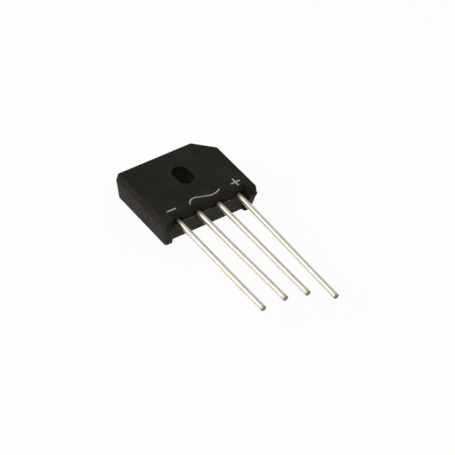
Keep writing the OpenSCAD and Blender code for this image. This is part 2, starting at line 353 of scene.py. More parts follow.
class Finish:
    """A material with a Principled shader, its node sheet and Object coordinates."""

    def __init__(self, name: str) -> None:
        """Start the material.

        Args:
            name: Name of the material.
        """
        self.material = bpy.data.materials.new(name)
        self.sheet = empty_sheet(self.material)
        self.shader = self.sheet.node("ShaderNodeBsdfPrincipled")
        out = self.sheet.node("ShaderNodeOutputMaterial")
        self.sheet.link(self.shader.outputs["BSDF"], out.inputs["Surface"])
        coordinates = self.sheet.node("ShaderNodeTexCoord")
        self.place = coordinates.outputs["Object"]
        self.facing = coordinates.outputs["Normal"]

    def constant(self, **values: object) -> None:
        """Set plain numbers on the shader's own sockets.

        Args:
            **values: Names of the shader's inputs, with underscores for spaces.
        """
        for label, value in values.items():
            self.shader.inputs[label.replace("_", " ")].default_value = value

    def feed(self, label: str, source: bpy.types.NodeSocket) -> None:
        """Link a socket to one of the shader's inputs."""
        self.sheet.link(source, self.shader.inputs[label])

    def bump(self, height: bpy.types.NodeSocket, strength: float, distance: float) -> None:
        """Feed a height to the shader's normal.

        Args:
            height: Socket with the height.
            strength: Strength of the Bump node.
            distance: Height in metres that a value of 1 stands for.
        """
        made = self.sheet.node("ShaderNodeBump", Strength=strength, Distance=distance)
        self.sheet.link(height, made.inputs["Height"])
        self.feed("Normal", made.outputs["Normal"])


@dataclass(frozen=True)
class Groups:
    """The shader node groups that several finishes share."""

    grain: bpy.types.NodeTree
    handling: bpy.types.NodeTree

    @staticmethod
    def _place(finish: Finish, group: bpy.types.NodeTree, values: dict[str, float]) -> bpy.types.NodeOutputs:
        """Put a group into a material with its own values.

        Args:
            finish: The finish under construction.
            group: The group to place.
            values: Names and values of the group's inputs.

        Returns:
            The group's output sockets.
        """
        made = finish.sheet.node("ShaderNodeGroup", node_tree=group)
        finish.sheet.link(finish.place, made.inputs["Vector"])
        for label, value in values.items():
            made.inputs[label].default_value = value
        return made.outputs

    def place_grain(self, finish: Finish, per_metre: float, pits: float) -> bpy.types.NodeOutputs:
        """Put the moulded grain into a material.

        Args:
            finish: The finish under construction.
            per_metre: Grains per metre.
            pits: Depth of the pits, from 0 to 1.

        Returns:
            The sockets named Height and Pit mask.
        """
        return self._place(finish, self.grain, {"Grains per metre": per_metre, "Pits": pits})

    def place_marks(self, finish: Finish, per_metre: float, scratches: float) -> bpy.types.NodeOutputs:
        """Put the marks of handling into a material.

        Args:
            finish: The finish under construction.
            per_metre: Patches per metre.
            scratches: Strength of the scratches, from 0 to 1.

        Returns:
            The sockets named Patch and Scratch.
        """
        return self._place(finish, self.handling, {"Patches per metre": per_metre, "Scratches": scratches})


# ---- finishes ----


@dataclass(frozen=True)
class MouldCompound:
    """Matte charcoal epoxy moulding compound, paler and browner on the walls than on the marked face:
    painted light on the side walls and on the wall below the leads, and painted shade and light in the screw
    slot.
    """

    dark: Rgb = (0.0128, 0.0121, 0.0094)
    pale: Rgb = (0.0240, 0.0223, 0.0178)
    # side: painted light, the side walls made paler and browner as if lit from the side
    side: Rgb = (0.0190, 0.0153, 0.0100)
    dust: Rgb = (0.040, 0.037, 0.031)
    # front: painted light bounced from the floor onto the wall below the leads
    front: Rgb = (0.0270, 0.0225, 0.0162)
    # Screw slot: painted shade near its mouth and painted light on its deep walls
    slot_painted_shade: Rgb = (0.0095, 0.0088, 0.0075)
    slot_painted_light: Rgb = (0.036, 0.0345, 0.031)
    grain: Pair = (4200.0, 0.6)
    marks: Pair = (420.0, 0.3)
    patch_span: Pair = (0.32, 0.68)
    patch_share: float = 0.6
    cloud_noise: Triple = (110.0, 2.0, 0.5)
    cloud_span: Pair = (0.35, 0.65)
    cloud_share: float = 0.6
    mottle_share: float = 0.85
    painted_side_share: float = 0.85
    pit_share: float = 0.5
    painted_side_facing: Pair = (0.35, 0.9)
    bounce_facing: Pair = (-0.5, -0.95)
    front_y: Pair = (-10.2 * MM, -9.9 * MM)
    bounce_z: Pair = (5.12 * MM, 4.96 * MM)
    slot_half: Pair = (2.0 * MM, 2.95 * MM)
    slot_mouth_z: Pair = (6.98 * MM, 6.9 * MM)
    slot_light_z: Pair = (6.2 * MM, 4.4 * MM)
    roughness: Pair = (0.5, 0.62)
    relief: Pair = (0.7, 0.000012)
    specular: float = 0.08

    def make(self, groups: Groups) -> bpy.types.Material:
        """Build the material.

        Args:
            groups: The shared node groups.

        Returns:
            The finished material.
        """
        finish = Finish("mould_compound")
        sheet = finish.sheet
        grain = groups.place_grain(finish, *self.grain)
        marks = groups.place_marks(finish, *self.marks)
        tone = sheet.spread(marks["Patch"], *self.patch_span)
        noise = sheet.noise(finish.place, *self.cloud_noise)
        cloud = sheet.spread(noise, *self.cloud_span, 0.0, self.cloud_share)
        mottled = sheet.maths("ADD", sheet.maths("MULTIPLY", tone, self.patch_share), cloud)
        flat = sheet.blend(
            sheet.maths("MULTIPLY", mottled, self.mottle_share, clamp=True), self.dark, self.pale
        )
        # Painted light: the side walls take the paler side colour
        sides = sheet.maths("MULTIPLY", self._painted_side_light_mask(finish), self.painted_side_share)
        walls = sheet.blend(sides, flat, self.side)
        # Painted light: the wall below the leads takes the paler front colour
        base = sheet.blend(self._painted_bounce_mask(finish), walls, self.front)
        worn = sheet.blend(marks["Scratch"], base, self.dust)
        pitted = sheet.blend(sheet.maths("MULTIPLY", grain["Pit mask"], self.pit_share), worn, self.dark)
        # Painted shade and light in the screw slot: darker near the mouth, paler deep down
        inside, deep = self._slot_masks(finish)
        slot = sheet.blend(deep, self.slot_painted_shade, self.slot_painted_light)
        finish.feed("Base Color", sheet.blend(inside, pitted, slot))
        finish.feed("Roughness", sheet.spread(marks["Patch"], *PATCH_SPAN, *self.roughness))
        finish.bump(grain["Height"], *self.relief)
        finish.constant(Specular_IOR_Level=self.specular)
        return finish.material

    def _painted_side_light_mask(self, finish: Finish) -> bpy.types.NodeSocket:
        """Mark the two side walls of the case, whose paler, browner colour is painted light from the side.

        Args:
            finish: The finish under construction.

        Returns:
            A value that is 1 on the side walls and 0 on faces that don't look sideways.
        """
        sideways = finish.sheet.maths("ABSOLUTE", finish.sheet.axes(finish.facing)["X"])
        return finish.sheet.spread(sideways, *self.painted_side_facing)

    def _painted_bounce_mask(self, finish: Finish) -> bpy.types.NodeSocket:
        """Mark the wall below the leads, whose paler colour is painted light bounced up from the floor.

        Args:
            finish: The finish under construction.

        Returns:
            A value that is 1 on that wall and 0 elsewhere.
        """
        sheet = finish.sheet
        place = sheet.axes(finish.place)
        forward = sheet.spread(sheet.axes(finish.facing)["Y"], *self.bounce_facing)
        behind_toes = sheet.spread(place["Y"], *self.front_y)
        below_leads = sheet.spread(place["Z"], *self.bounce_z)
        return sheet.maths("MULTIPLY", forward, sheet.maths("MULTIPLY", behind_toes, below_leads))

    def _slot_masks(self, finish: Finish) -> tuple[bpy.types.NodeSocket, bpy.types.NodeSocket]:
        """Mark the wall of the screw slot, and how deep in it a point lies.

        Args:
            finish: The finish under construction.

        Returns:
            A value that is 1 in the slot and 0 elsewhere, and one that grows from 0 near the slot's
            mouth to 1 deep in it, where the painted light on the deep walls is full.
        """
        sheet = finish.sheet
        place = sheet.axes(finish.place)
        across, along = (
            sheet.maths("LESS_THAN", sheet.maths("ABSOLUTE", place[axis]), half)
            for axis, half in zip("XY", self.slot_half)
        )
        below = sheet.spread(place["Z"], *self.slot_mouth_z)
        inside = sheet.maths("MULTIPLY", sheet.maths("MULTIPLY", across, along), below)
        return inside, sheet.spread(place["Z"], *self.slot_light_z)


@dataclass(frozen=True)
class TinnedWire:
    """Hot-tinned copper wire: satin and creamy, darkened at the case partly by a stain and partly by painted
    shade and dark reflection of the case, and bared at the cut.
    """

    bright: Rgb = (0.81, 0.785, 0.69)
    dull: Rgb = (0.72, 0.69, 0.595)
    # stain: partly a real stain, partly painted shade and dark reflection of the case near the mouth
    stain_and_case_shade: Rgb = (0.23, 0.215, 0.185)
    bared: Rgb = (0.53, 0.455, 0.37)
    marks: Pair = (380.0, 0.3)
    patch_span: Pair = (0.36, 0.66)
    drawn_stretch: Triple = (6.0, 0.35, 6.0)
    drawn_noise: Triple = (700.0, 3.0, 0.5)
    streak_span: Pair = (0.52, 0.72)
    streak_share: float = 0.3
    mouth_y: float = -9.7 * MM
    stain_shade_start: float = 0.35 * MM
    stain_shade_length: float = 1.25 * MM
    stain_shade_share: float = 0.9
    ragged_span: Pair = (0.3, 0.7)
    ragged: float = 0.25
    bared_length: float = 0.75
    bared_full: float = 0.45
    bared_share: float = 0.7
    roughness: Pair = (0.34, 0.44)
    stain_roughness: float = 0.2
    relief: Pair = (0.05, 0.000005)

    def make(self, groups: Groups) -> bpy.types.Material:
        """Build the material.

        Args:
            groups: The shared node groups.

        Returns:
            The finished material.
        """
        finish = Finish("tinned_wire")
        sheet = finish.sheet
        marks = groups.place_marks(finish, *self.marks)
        drawn = sheet.noise(sheet.stretched(finish.place, self.drawn_stretch), *self.drawn_noise)
        base = sheet.blend(sheet.spread(marks["Patch"], *self.patch_span), self.bright, self.dull)
        streaks = sheet.spread(drawn, *self.streak_span, 0.0, self.streak_share)
        streaked = sheet.blend(streaks, base, self.dull)
        # Darker band near the case: partly a real stain, partly painted shade and reflection of the case
        stain_shade_y = self.mouth_y - self.stain_shade_start
        from_case = sheet.axes(finish.place)["Y"]
        near_case_stain_and_shade = sheet.spread(from_case, stain_shade_y - self.stain_shade_length, stain_shade_y, 0.0, self.stain_shade_share)
        stained = sheet.blend(near_case_stain_and_shade, streaked, self.stain_and_case_shade)
        ending = sheet.node("ShaderNodeAttribute", attribute_name=FROM_END)
        shift = sheet.spread(drawn, *self.ragged_span, -self.ragged, self.ragged)
        edge = sheet.maths("ADD", ending.outputs["Fac"], shift)
        full = self.bared_length * self.bared_full
        bare = sheet.spread(edge, full, self.bared_length, self.bared_share, 0.0)
        finish.feed("Base Color", sheet.blend(bare, stained, self.bared))
        polish = sheet.spread(marks["Patch"], *PATCH_SPAN, *self.roughness)
        stain_matt = sheet.maths("MULTIPLY", near_case_stain_and_shade, self.stain_roughness)
        finish.feed("Roughness", sheet.maths("ADD", polish, stain_matt))
        finish.bump(drawn, *self.relief)
        finish.constant(Metallic=1.0)
        return finish.material


@dataclass(frozen=True)
class CutCopper:
    """Sheared end of a lead: oxidised copper core smeared with tin."""

    core: Rgb = (0.195, 0.162, 0.128)
    smear: Rgb = (0.42, 0.385, 0.325)
    marks: Pair = (2600.0, 0.8)
    shear_stretch: Triple = (1.0, 1.0, 7.0)
    shear_noise: Triple = (1800.0, 3.0, 0.6)
    smear_span: Pair = (0.17, 0.36)
    roughness: Pair = (0.5, 0.68)
    relief: Pair = (0.6, 0.00003)
    metallic: float = 0.25
    specular: float = 0.3

    def make(self, groups: Groups) -> bpy.types.Material:
        """Build the material.

        Args:
            groups: The shared node groups.

        Returns:
            The finished material.
        """
        finish = Finish("cut_copper")
        sheet = finish.sheet
        marks = groups.place_marks(finish, *self.marks)
        shear = sheet.noise(sheet.stretched(finish.place, self.shear_stretch), *self.shear_noise)
        tone = sheet.spread(sheet.maths("MULTIPLY", shear, marks["Patch"]), *self.smear_span)
        finish.feed("Base Color", sheet.blend(tone, self.core, self.smear))
        finish.feed("Roughness", sheet.spread(marks["Patch"], *PATCH_SPAN, *self.roughness))
        finish.bump(shear, *self.relief)
        finish.constant(Metallic=self.metallic, Specular_IOR_Level=self.specular)
        return finish.material


@dataclass(frozen=True)
class PaleResin:
    """Pale finish of the parting fins, far paler than the case, so that they show as bright streaks."""

    thin: Rgb = (0.30, 0.285, 0.245)
    thick: Rgb = (0.10, 0.094, 0.08)
    marks: Pair = (2200.0, 0.2)
    patch_span: Pair = (0.4, 0.62)
    roughness: Pair = (0.35, 0.55)
    relief: Pair = (0.4, 0.00001)
    specular: float = 0.4

    def make(self, groups: Groups) -> bpy.types.Material:
        """Build the material.

        Args:
            groups: The shared node groups.

        Returns:
            The finished material.
        """
        finish = Finish("pale_resin")
        sheet = finish.sheet
        patch = groups.place_marks(finish, *self.marks)["Patch"]
        tone = sheet.spread(patch, *self.patch_span)
        finish.feed("Base Color", sheet.blend(tone, self.thin, self.thick))
        finish.feed("Roughness", sheet.spread(patch, *PATCH_SPAN, *self.roughness))
        finish.bump(patch, *self.relief)
        finish.constant(Specular_IOR_Level=self.specular)
        return finish.material


@dataclass(frozen=True)
class PaleInk:
    """Pale pad-printed ink, thinner where the grain shows through."""

    ink: Rgb = (0.42, 0.415, 0.385)
    thin: Rgb = (0.22, 0.215, 0.20)
    grain: Pair = (5200.0, 0.9)
    marks: Pair = (1100.0, 0.4)
    patch_span: Pair = (0.46, 0.72)
    patch_share: float = 0.6
    roughness: float = 0.62
    relief: Pair = (0.4, 0.00001)
    specular: float = 0.2

    def make(self, groups: Groups) -> bpy.types.Material:
        """Build the material.

        Args:
            groups: The shared node groups.

        Returns:
            The finished material.
        """
        finish = Finish("pale_ink")
        sheet = finish.sheet
        grain = groups.place_grain(finish, *self.grain)
        marks = groups.place_marks(finish, *self.marks)
        patchy = sheet.spread(marks["Patch"], *self.patch_span, 0.0, self.patch_share)
        wear = sheet.maths("ADD", patchy, grain["Pit mask"], clamp=True)
        finish.feed("Base Color", sheet.blend(wear, self.ink, self.thin))
        finish.bump(grain["Height"], *self.relief)
        finish.constant(Roughness=self.roughness, Specular_IOR_Level=self.specular)
        return finish.material


@dataclass(frozen=True)
class WorkedMetal:
    """Metal or silicon of a sealed piece, with a fine worked surface."""

    name: str
    first: Rgb
    second: Rgb
    metallic: float
    roughness: float
    marks: Pair = (900.0, 0.6)
    patch_span: Pair = (0.35, 0.65)
    relief: Pair = (0.2, 0.00002)

    def make(self, groups: Groups) -> bpy.types.Material:
        """Build the material.

        Args:
            groups: The shared node groups.

        Returns:
            The finished material.
        """
        finish = Finish(self.name)
        patch = groups.place_marks(finish, *self.marks)["Patch"]
        tone = finish.sheet.spread(patch, *self.patch_span)
        finish.feed("Base Color", finish.sheet.blend(tone, self.first, self.second))
        finish.bump(patch, *self.relief)
        finish.constant(Metallic=self.metallic, Roughness=self.roughness)
        return finish.material


# ---- meshes ----


def finished_piece(
    name: str,
    mesh: bmesh.types.BMesh,
    materials: Sequence[bpy.types.Material],
    shade_deg: float = 0.0,
) -> bpy.types.Object:
    """Turn a bmesh in metres into an object at the origin.

    Args:
        name: Name of the object.
        mesh: The built mesh, which is freed.
        materials: Materials in the order of the faces' material numbers.
        shade_deg: Faces that meet at less than this angle shade as one, or 0 for flat faces.

    Returns:
        The new object, linked to the scene.
    """
    bmesh.ops.remove_doubles(mesh, verts=mesh.verts, dist=LAST_MERGE)
    bmesh.ops.recalc_face_normals(mesh, faces=mesh.faces)
    for face in mesh.faces:
        face.smooth = shade_deg > 0
    data = bpy.data.meshes.new(name)
    mesh.to_mesh(data)
    mesh.free()
    if shade_deg > 0:
        data.set_sharp_from_angle(angle=math.radians(shade_deg))
    for material in materials:
        data.materials.append(material)
    made = bpy.data.objects.new(name, data)
    bpy.context.scene.collection.objects.link(made)
    return made


def grow_edges(
    mesh: bmesh.types.BMesh, edges: Sequence[bmesh.types.BMEdge]
) -> tuple[list[bmesh.types.BMVert], list[bmesh.types.BMEdge]]:
    """Extrude edges and pick out what is new at their far side.

    Args:
        mesh: Mesh that the edges belong to.
        edges: Edges to extrude.

    Returns:
        The new vertices, and the edges that join only new vertices.
    """
    grown = bmesh.ops.extrude_edge_only(mesh, edges=edges)["geom"]
    verts = [item for item in grown if isinstance(item, bmesh.types.BMVert)]
    fresh = set(verts)
    outer = [
        item for item in grown if isinstance(item, bmesh.types.BMEdge) and fresh.issuperset(item.verts)
    ]
    return verts, outer


def merged_copy(node: str) -> bmesh.types.BMesh:
    """Copy a CAD node's mesh and join its loose triangles.

    Args:
        node: Name of the CAD node.

    Returns:
        A closed bmesh with the node's shape.
    """
    mesh = bmesh.new()
    mesh.from_mesh(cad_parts[node].data)
    bmesh.ops.remove_doubles(mesh, verts=mesh.verts, dist=MERGE)
    return mesh


def dissolve_seams(mesh: bmesh.types.BMesh) -> None:
    """Dissolve the seams in a mesh's flat faces.

    Args:
        mesh: Closed mesh of triangles.
    """
    bmesh.ops.dissolve_limit(
        mesh, angle_limit=math.radians(FLAT_DEG), verts=mesh.verts, edges=mesh.edges
    )


@dataclass
class CaseShell:
    """The moulded case, with the soft edges that its mould leaves; sizes in millimetres."""

    half_width: float = 11.47
    rear_y: float = 7.9
    corner_cut: float = 4.2
    parting_z: float = 5.05
    fin_half: float = 0.06
    fin_merge: float = 0.03
    tidy_merge: float = 0.01
    wall_margin: float = 0.1
    edge_radius: float = 0.045
    edge_segments: int = 2
    toe_radius: float = 0.22
    toe_segments: int = 4
    toe_x: float = 10.7
    toe_y: float = -10.4
    toe_deg: Pair = (20.0, 70.0)
    toe_rise: float = 1.0
    toe_steep: float = 0.8
    sharp_deg: float = 25.0
    shade_deg: float = 32.0
    front_y: float = -8.6
    long_edge: float = 5.0
    cavity_low: Triple = (-9.0, -9.15, 1.1)
    cavity_high: Triple = (9.0, 9.0, 5.7)

    def build(self, compound: bpy.types.Material) -> bpy.types.Object:
        """Copy the case, wear off its fin and round its outer edges.

        Args:
            compound: Finish of the moulding.

        Returns:
            The case's object.
        """
        mesh = merged_copy("case")
        self._wear_fin(mesh)
        dissolve_seams(mesh)
        bmesh.ops.remove_doubles(mesh, verts=mesh.verts, dist=self.tidy_merge * MM)
        toes = [edge for edge in mesh.edges if self._is_toe_corner(edge)]
        self._round(mesh, toes, self.toe_radius, self.toe_segments)
        outer = [edge for edge in mesh.edges if self._is_outer_corner(edge)]
        self._round(mesh, outer, self.edge_radius, self.edge_segments)
        piece = finished_piece("case_shell", mesh, [compound], self.shade_deg)
        weighted = piece.modifiers.new("even_shading", "WEIGHTED_NORMAL")
        weighted.keep_sharp = True
        return piece

    def _round(
        self, mesh: bmesh.types.BMesh, edges: Sequence[bmesh.types.BMEdge], size: float, segments: int
    ) -> None:
        """Round some edges of the case.

        Args:
            mesh: The case's mesh.
            edges: The edges to round.
            size: How far the rounding reaches on each side, in millimetres.
            segments: Number of faces across the rounding.
        """
        bmesh.ops.bevel(
            mesh,
            geom=edges,
            offset=size * MM,
            offset_type="OFFSET",
            segments=segments,
            profile=0.5,
            affect="EDGES",
            clamp_overlap=False,
            loop_slide=True,
            material=-1,
        )
        bmesh.ops.remove_doubles(mesh, verts=mesh.verts, dist=self.tidy_merge * MM)

    def _is_toe_corner(self, edge: bmesh.types.BMEdge) -> bool:
        """Tell whether an edge runs up an outer corner of a foot's toe.

        Args:
            edge: The edge to judge.

        Returns:
            True for the steep edges of that corner.
        """
        low, high = self.toe_deg
        if not edge.is_manifold or not low < math.degrees(edge.calc_face_angle(0.0)) < high:
            return False
        rise = edge.verts[1].co - edge.verts[0].co
        if rise.length < self.toe_rise * MM or abs(rise.z) < self.toe_steep * rise.length:
            return False
        return all(abs(vert.co.x) > self.toe_x * MM and vert.co.y < self.toe_y * MM for vert in edge.verts)

    def _wear_fin(self, mesh: bmesh.types.BMesh) -> None:
        """Wear the parting-line fin off the two side walls, the rear wall and the cut corner.

        Args:
            mesh: The case's mesh.
        """
        side = self.half_width * MM
        rear = self.rear_y * MM
        diagonal = side + rear - self.corner_cut * MM
        worn = []
        for vert in mesh.verts:
            if abs(vert.co.z - self.parting_z * MM) > self.fin_half * MM:
                continue
            outside = max(abs(vert.co.x) - side, vert.co.y - rear, vert.co.x + vert.co.y - diagonal)
            if outside < -self.wall_margin * MM:
                continue
            vert.co.x = max(-side, min(side, vert.co.x))
            vert.co.y = min(rear, vert.co.y)
            excess = max(0.0, vert.co.x + vert.co.y - diagonal) / 2
            vert.co.x -= excess
            vert.co.y -= excess
            worn.append(vert)
        bmesh.ops.remove_doubles(mesh, verts=worn, dist=self.fin_merge * MM)

    def _is_outer_corner(self, edge: bmesh.types.BMEdge) -> bool:
        """Tell whether an edge is a sharp one on the outside of the case.

        Args:
            edge: The edge to judge.

        Returns:
            True if the edge is to be rounded.
        """
        if not edge.is_manifold or edge.calc_face_angle(0.0) < math.radians(self.sharp_deg):
            return False
        heights = [abs(vert.co.z - self.parting_z * MM) for vert in edge.verts]
        if max(heights) < self.fin_half * MM or all(self._in_cavity(vert.co) for vert in edge.verts):
            return False
        behind_front = all(vert.co.y > self.front_y * MM for vert in edge.verts)
        return behind_front or edge.calc_length() > self.long_edge * MM

    def _in_cavity(self, place: Vector) -> bool:
        """Tell whether a point lies in the pocket that holds the metal parts."""
        bounds = zip(self.cavity_low, place, self.cavity_high)
        return all(low * MM < value < high * MM for low, value, high in bounds)


@dataclass
class PartingFins:
    """Thin ragged fins of pale resin along the parting line beside the leads; sizes in millimetres."""

    spans: Sequence[Pair] = ((-6.55, -4.15), (-1.65, 0.25), (3.9, 5.35))
    lip_y: float = -9.85
    height: float = 5.05
    reach: float = 0.13
    thickness: float = 0.04
    step: float = 0.09
    sunk: float = 0.05
    least: float = 0.01
    fullness: float = 0.6
    ragged: Pair = (0.45, 1.0)
    lift: Pair = (-0.015, 0.01)
    seed: int = 21

    def build(self, resin: bpy.types.Material) -> bpy.types.Object:
        """Grow each fin along the parting line, with a ragged outer edge.

        Args:
            resin: Finish of the fins.

        Returns:
            The fins as one object.
        """
        draw = random.Random(self.seed)
        mesh = bmesh.new()
        for start, end in self.spans:
            count = round((end - start) / self.step)
            inner = mesh.verts.new(self._point(start, -self.sunk, 0.0))
            outer = mesh.verts.new(self._point(start, self.least, 0.0))
            edge = mesh.edges.new((inner, outer))
            for turn in range(1, count + 1):
                share = turn / count
                swell = math.sin(math.pi * share) ** self.fullness
                depth = self.least + self.reach * swell * draw.uniform(*self.ragged)
                verts, edges = grow_edges(mesh, [edge])
                inner, outer = sorted(verts, key=lambda vert: -vert.co.y)
                x = start + (end - start) * share
                inner.co = self._point(x, -self.sunk, 0.0)
                outer.co = self._point(x, depth, draw.uniform(*self.lift))
                edge = edges[0]
        bmesh.ops.recalc_face_normals(mesh, faces=mesh.faces)
        bmesh.ops.solidify(mesh, geom=mesh.faces[:], thickness=self.thickness * MM)
        return finished_piece("parting_fins", mesh, [resin])

    def _point(self, x: float, reach: float, lift: float) -> Vector:
        """Place a point of the fin, in metres, at a reach in front of the lip."""
        return Vector((x, self.lip_y - reach, self.height + lift)) * MM


@dataclass
class Lead:
    """One round tinned lead, from its end in the case to its sheared end; sizes in millimetres."""

    end: LeadEnd
    exit_x: float
    length: float
    lean_deg: float
    seed: int
    wall_y: float = -9.7
    axis_z: float = 5.05
    radius: float = 0.64
    round_from: float = -0.42
    shoulder: float = 0.08
    neck_overlap: float = 0.1
    burr: float = 0.1
    swage: Pair = (0.35, 0.3)
    roll: tuple[Pair, ...] = ((0.55, 0.25), (0.95, 0.9))
    cut_rings: tuple[float, ...] = (0.7, 0.45, 0.2)
    bow: float = 0.035
    bow_turn: float = 3.0
    bow_lift: float = 0.6
    tilt: float = 0.05
    tilt_share: Pair = (0.4, 1.0)
    rings: int = 60
    sides: int = 48
    shade_deg: float = 35.0

    @property
    def node(self) -> str:
        """Name of the CAD node that the lead stands for."""
        return f"lead_{self.end.value}"

    @property
    def along(self) -> Vector:
        """Direction of the free wire, away from the case."""
        lean = math.radians(self.lean_deg)
        return Vector((math.sin(lean), -math.cos(lean), 0.0))

    @property
    def exit_point(self) -> Vector:
        """Where the lead's axis leaves the nominal wall, in millimetres."""
        return Vector((self.exit_x, self.wall_y, self.axis_z))

    def build(self, wire: bpy.types.Material, cut: bpy.types.Material) -> bpy.types.Object:
        """Build the wire ring by ring, beside the flattened end that the case hides.

        Args:
            wire: Finish of the tinned surface.
            cut: Finish of the sheared end.

        Returns:
            The lead's object.
        """
        mesh = self._inner_end()
        from_end = mesh.verts.layers.float.new(FROM_END)
        for vert in mesh.verts:
            vert[from_end] = self.length
        self._wire(mesh)
        return finished_piece(f"{self.node}_wire", mesh, [wire, cut], self.shade_deg)

    def _inner_end(self) -> bmesh.types.BMesh:
        """Copy the part of the lead that the case hides, up to the swaged neck.

        Returns:
            A closed bmesh of that part.
        """
        mesh = merged_copy(self.node)
        plane = (self.exit_point + self.along * (self.round_from - self.neck_overlap / 2)) * MM
        cut = bmesh.ops.bisect_plane(
            mesh,
            geom=[*mesh.verts, *mesh.edges, *mesh.faces],
            dist=MERGE,
            plane_co=plane,
            plane_no=self.along,
            clear_outer=True,
        )["geom_cut"]
        rim = [item for item in cut if isinstance(item, bmesh.types.BMEdge)]
        bmesh.ops.contextual_create(mesh, geom=rim)
        ring = [item for item in cut if isinstance(item, bmesh.types.BMVert)]
        bmesh.ops.translate(mesh, verts=ring, vec=self.along * self.neck_overlap * MM)
        return mesh

    def _stations(self) -> list[Pair]:
        """List the wire's rings from the shoulder to the middle of the cut face.

        Returns:
            For each ring, its distance from the start of the round wire and its radius.
        """
        straight = self.length - self.round_from - self.burr
        body = [
            (self.shoulder + (straight - self.shoulder) * turn / self.rings, self.radius)
            for turn in range(self.rings + 1)
        ]
        start, drop = self.swage
        rise = (self.shoulder * start, self.radius - self.shoulder * drop)
        rolled = [(straight + self.burr * past, self.radius - self.burr * fall) for past, fall in self.roll]
        face = [(straight + self.burr, self.radius * share) for share in self.cut_rings]
        return [rise, *body, *rolled, *face]

    def _wire(self, mesh: bmesh.types.BMesh) -> None:
        """Extrude the free wire from its shoulder to its sheared end.

        Args:
            mesh: Mesh that the wire is added to.
        """
        draw = random.Random(self.seed)
        phase = draw.uniform(0.0, 2.0 * math.pi)
        lean_back = draw.uniform(*self.tilt_share) * self.tilt / self.radius
        from_end = mesh.verts.layers.float[FROM_END]
        stations = self._stations()
        centre = self.exit_point + self.along * self.round_from
        facing = self.along.to_track_quat("Z", "Y").to_matrix().to_4x4()
        before = self.radius - self.shoulder
        made = bmesh.ops.create_circle(
            mesh,
            cap_ends=True,
            segments=self.sides,
            radius=before * MM,
            matrix=Matrix.Translation(centre * MM) @ facing,
        )
        edges = list({edge for vert in made["verts"] for edge in vert.link_edges})
        for vert in made["verts"]:
            vert[from_end] = self.length
        last = stations[-1][0]
        for distance, width in stations:
            verts, edges = grow_edges(mesh, edges)
            share = distance / last
            sway = self.bow * math.sin(math.pi * share) * math.sin(phase + self.bow_turn * share)
            target = self.exit_point + self.along * (self.round_from + distance)
            target += Vector((sway, 0.0, self.bow_lift * sway))
            bmesh.ops.translate(mesh, verts=verts, vec=(target - centre) * MM)
            to_centre = Matrix.Translation(-target * MM)
            bmesh.ops.scale(mesh, verts=verts, vec=(width / before,) * 3, space=to_centre)
            for vert in verts:
                vert[from_end] = last - distance
            centre, before = target, width
        bmesh.ops.contextual_create(mesh, geom=edges)
        cut_depth = self.burr / 2
        for vert in mesh.verts:
            if vert[from_end] < cut_depth:
                vert.co += self.along * (vert.co.z - centre.z * MM) * lean_back
        for face in mesh.faces:
            if all(vert[from_end] < cut_depth for vert in face.verts):
                face.material_index = 1


class Sign(Enum):
    """The polarity signs that are printed on the marked face."""

    NEGATIVE = "sign_negative"
    ALTERNATING = "sign_alternating"
    POSITIVE = "sign_positive"


